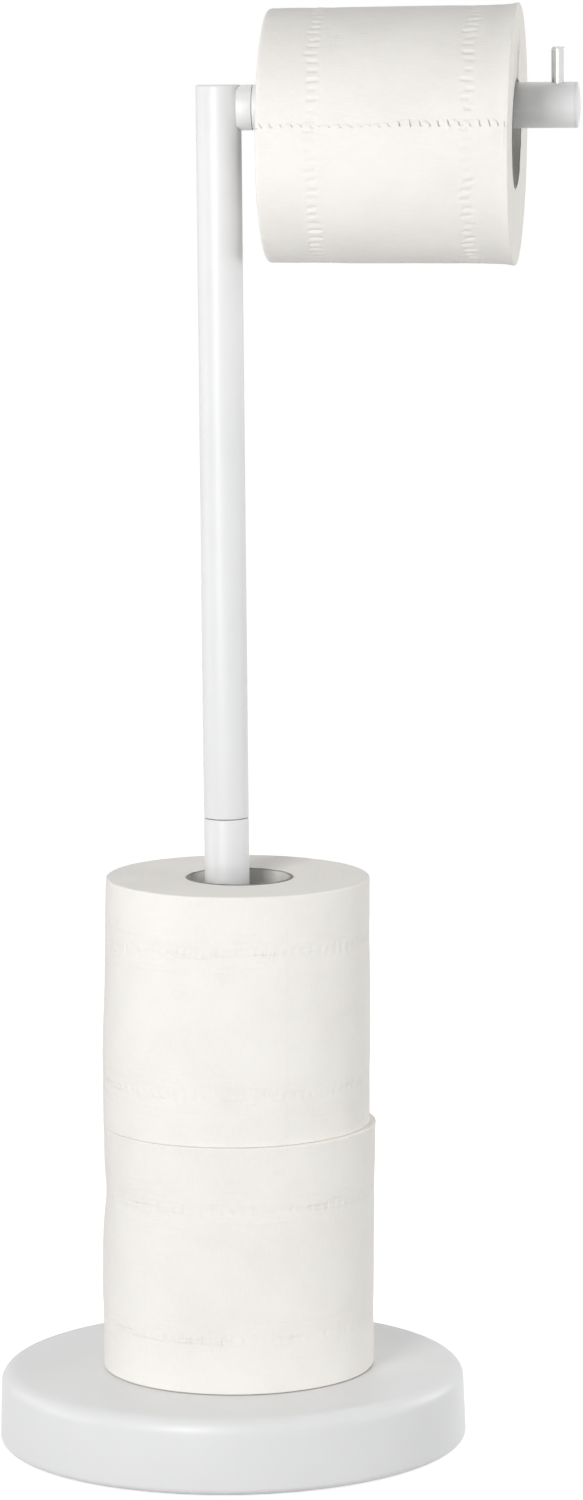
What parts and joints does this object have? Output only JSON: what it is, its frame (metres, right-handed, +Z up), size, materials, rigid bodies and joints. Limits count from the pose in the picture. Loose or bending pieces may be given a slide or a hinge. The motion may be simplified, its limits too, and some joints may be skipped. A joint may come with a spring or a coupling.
{
  "type": "toilet paper stand",
  "caption": "Free-standing toilet paper stand: weighted round base, tube post in two screwed sections, level arm with an upright end pin, a hanging roll and stacked spare rolls.",
  "frame": {"origin": "centre of the foot pad's underside, on the floor and on the post's axis", "axes": "+Z up along the post, +X along the arm from the post to the end pin, +Y to the back"},
  "size_m": [0.2508, 0.2, 0.6095],
  "materials": {
    "white_lacquer": "semi-gloss white stove enamel",
    "zinc_steel": "zinc-plated, dull",
    "polished_steel": "polished",
    "cement": "cast, rough",
    "foot_pad": "dense rubber, matt",
    "nylon": "moulded, matt",
    "tissue": "soft crepe tissue with embossed bands of short dashes",
    "cardboard": "grey spirally wound board"
  },
  "bodies": {
    "stand": {"base_cover": "white_lacquer", "base_weight": "cement", "base_plate": "zinc_steel", "base_plate_screw_1": "zinc_steel", "base_plate_screw_2": "zinc_steel", "base_plate_screw_3": "zinc_steel", "base_pad": "foot_pad", "base_bolt": "zinc_steel", "base_bolt_washer": "zinc_steel", "lower_post_foot_plug": "nylon", "lower_post": "white_lacquer", "lower_post_top_plug": "nylon"},
    "upper_stand": {"post_stud": "zinc_steel", "upper_post_foot_plug": "nylon", "upper_post": "white_lacquer", "post_top_cap": "white_lacquer", "arm_neck": "white_lacquer", "arm_bolt": "zinc_steel", "arm_bolt_washer": "zinc_steel", "arm_root_plug": "nylon", "arm_tube": "white_lacquer", "arm_end_cap": "white_lacquer", "arm_pin": "polished_steel"},
    "hanging_roll": {"hanging_roll_paper": "tissue", "hanging_roll_core": "cardboard"},
    "lower_spare_roll": {"lower_spare_paper": "tissue", "lower_spare_core": "cardboard"},
    "upper_spare_roll": {"upper_spare_paper": "tissue", "upper_spare_core": "cardboard"}
  },
  "joints": [
    {"name": "post_swivel", "type": "hinge", "parent": "stand", "child": "upper_stand", "pos_m": [0, 0, 0.2693], "axis": [0, 0, 1], "range_deg": [0, 360]},
    {"name": "hanging_roll_spin", "type": "hinge", "parent": "upper_stand", "child": "hanging_roll", "pos_m": [0.0208, 0, 0.556], "axis": [1, 0, 0], "continuous": true},
    {"name": "lower_spare_lift", "type": "slide", "parent": "stand", "child": "lower_spare_roll", "axis": [0, 0, 1], "range_m": [0, 0.118]},
    {"name": "upper_spare_lift", "type": "slide", "parent": "lower_spare_roll", "child": "upper_spare_roll", "axis": [0, 0, 1], "range_m": [0, 0.132]}
  ]
}
